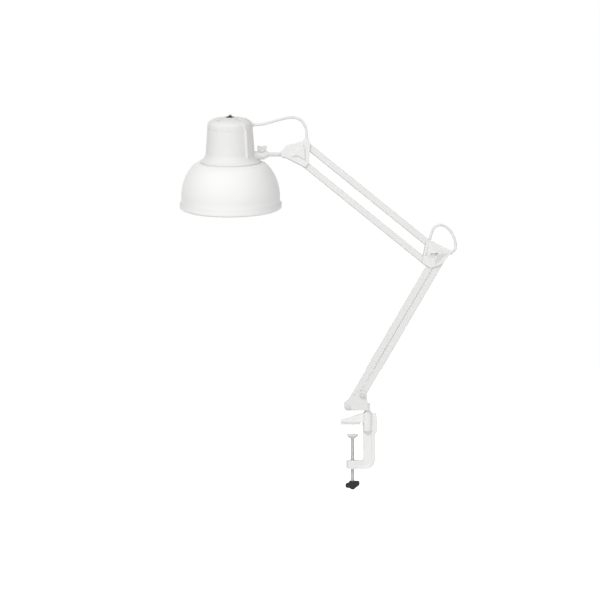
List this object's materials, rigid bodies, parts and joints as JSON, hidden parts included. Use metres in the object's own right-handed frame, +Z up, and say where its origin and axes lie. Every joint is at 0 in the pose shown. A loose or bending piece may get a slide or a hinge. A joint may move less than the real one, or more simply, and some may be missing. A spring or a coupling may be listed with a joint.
{
  "type": "clamp lamp",
  "caption": "Desk lamp with a screw clamp, a swivel post, parallelogram arms of square tube and a bell shade that rolls on a rod under a tall cap with a rocker switch.",
  "frame": {"origin": "under the upper jaw's pad, on the axis of the clamp screw, at the height of the table top", "axes": "+Z up along the swivel post, +X from the clamp screw towards the elbow side, -Y towards the viewer of the picture"},
  "size_m": [0.417, 0.1531, 0.5622],
  "materials": {
    "shade_paint": "gloss white",
    "arm_paint": "satin white",
    "casting_paint": "satin white on a casting",
    "cap_plastic": "moulded, half gloss",
    "cover_plastic": "moulded",
    "nylon": "moulded",
    "black_plastic": "half gloss",
    "bolt_steel": "zinc plated",
    "screw_steel": "plain steel",
    "cable_sheath": "smooth sheath",
    "holder_plastic": "moulded",
    "brass": "plain",
    "lead_sheath": "smooth",
    "bulb_metal": "pressed shell",
    "bulb_glass": "frosted"
  },
  "bodies": {
    "clamp": {"clamp_frame": "casting_paint", "jaw_pad": "nylon"},
    "pad": {"pressure_pad": "nylon"},
    "screw": {"clamp_screw": "screw_steel", "clamp_knob": "black_plastic"},
    "swivel": {"swivel_post": "arm_paint", "base_cheek_front": "arm_paint", "base_cheek_rear": "arm_paint", "base_bolts": "bolt_steel", "base_nuts": "bolt_steel", "base_washers": "nylon"},
    "lower_front": {"lower_front_bar": "arm_paint", "lower_front_bushes": "nylon"},
    "lower_rear": {"lower_rear_bar": "arm_paint", "lower_rear_bushes": "nylon"},
    "elbow": {"elbow_cover_front": "cover_plastic", "elbow_cover_rear": "cover_plastic", "elbow_spacer": "cover_plastic", "elbow_pins": "bolt_steel", "elbow_washers": "nylon", "elbow_screw": "bolt_steel", "elbow_cable": "cable_sheath"},
    "upper_top": {"upper_top_bar": "arm_paint", "upper_top_bushes": "nylon"},
    "upper_bottom": {"upper_bottom_bar": "arm_paint", "upper_bottom_bushes": "nylon"},
    "yoke": {"yoke_front": "cover_plastic", "yoke_rear": "cover_plastic", "swivel_rod": "arm_paint", "yoke_pins": "bolt_steel", "yoke_washers": "nylon", "yoke_outlet": "cover_plastic", "yoke_screw": "bolt_steel", "head_cable": "cable_sheath"},
    "head": {"shade": "shade_paint", "cap_body": "cap_plastic", "cap_lid": "cap_plastic", "cable_gland": "cap_plastic", "switch_housing": "cap_plastic", "switch_tabs": "brass", "lead_wires": "lead_sheath", "lampholder": "holder_plastic", "screw_shell": "brass", "centre_contact": "brass", "shade_ring": "holder_plastic", "holder_screws": "bolt_steel", "bulb_base": "bulb_metal", "bulb_glass": "bulb_glass"},
    "rocker": {"switch_rocker": "black_plastic"},
    "wing": {"wing_screw": "arm_paint"}
  },
  "joints": [
    {"name": "pad_lift", "type": "slide", "parent": "clamp", "child": "pad", "axis": [0, 0, 1], "range_m": [-0.028, 0.014]},
    {"name": "screw_turn", "type": "hinge", "parent": "pad", "child": "screw", "pos_m": [0, 0, -0.06], "axis": [0, 0, 1], "range_deg": [-10080, 5040]},
    {"name": "base_swivel", "type": "hinge", "parent": "clamp", "child": "swivel", "pos_m": [0.0226, 0, 0.01], "axis": [0, 0, 1], "continuous": true},
    {"name": "lower_arm", "type": "hinge", "parent": "swivel", "child": "lower_front", "pos_m": [-0.0075, 0, 0.02595], "axis": [0, -1, 0], "range_deg": [0, 60]},
    {"name": "lower_link", "type": "hinge", "parent": "swivel", "child": "lower_rear", "pos_m": [0.01485, 0, 0.04395], "axis": [0, -1, 0], "range_deg": [0, 60]},
    {"name": "elbow_level", "type": "hinge", "parent": "lower_front", "child": "elbow", "pos_m": [0.11742, 0, 0.23973], "axis": [0, -1, 0], "range_deg": [-60, 0]},
    {"name": "upper_arm", "type": "hinge", "parent": "elbow", "child": "upper_top", "pos_m": [0.11477, 0, 0.27043], "axis": [0, -1, 0], "range_deg": [-30, 75]},
    {"name": "upper_link", "type": "hinge", "parent": "elbow", "child": "upper_bottom", "pos_m": [0.10877, 0, 0.24433], "axis": [0, -1, 0], "range_deg": [-30, 75]},
    {"name": "yoke_level", "type": "hinge", "parent": "upper_top", "child": "yoke", "pos_m": [-0.0683, 0, 0.41841], "axis": [0, -1, 0], "range_deg": [-75, 30]},
    {"name": "head_roll", "type": "hinge", "parent": "yoke", "child": "head", "pos_m": [-0.1834, 0, 0.40476], "axis": [1, 0, 0], "range_deg": [-74, 46]},
    {"name": "switch_rock", "type": "hinge", "parent": "head", "child": "rocker", "pos_m": [-0.1834, -0.01292, 0.45657], "axis": [0, 0.9703, 0.2419], "range_deg": [-16, 0]},
    {"name": "wing_turn", "type": "hinge", "parent": "head", "child": "wing", "pos_m": [-0.1357, -0.00111, 0.40922], "axis": [0, -0.2419, 0.9703], "range_deg": [-90, 90]}
  ],
  "couplings": [
    {"joint": "screw_turn", "follows": "pad_lift", "rad_per_m": 6283.2},
    {"joint": "lower_link", "follows": "lower_arm", "ratio": 1},
    {"joint": "elbow_level", "follows": "lower_arm", "ratio": -1},
    {"joint": "upper_link", "follows": "upper_arm", "ratio": 1},
    {"joint": "yoke_level", "follows": "upper_arm", "ratio": -1}
  ]
}
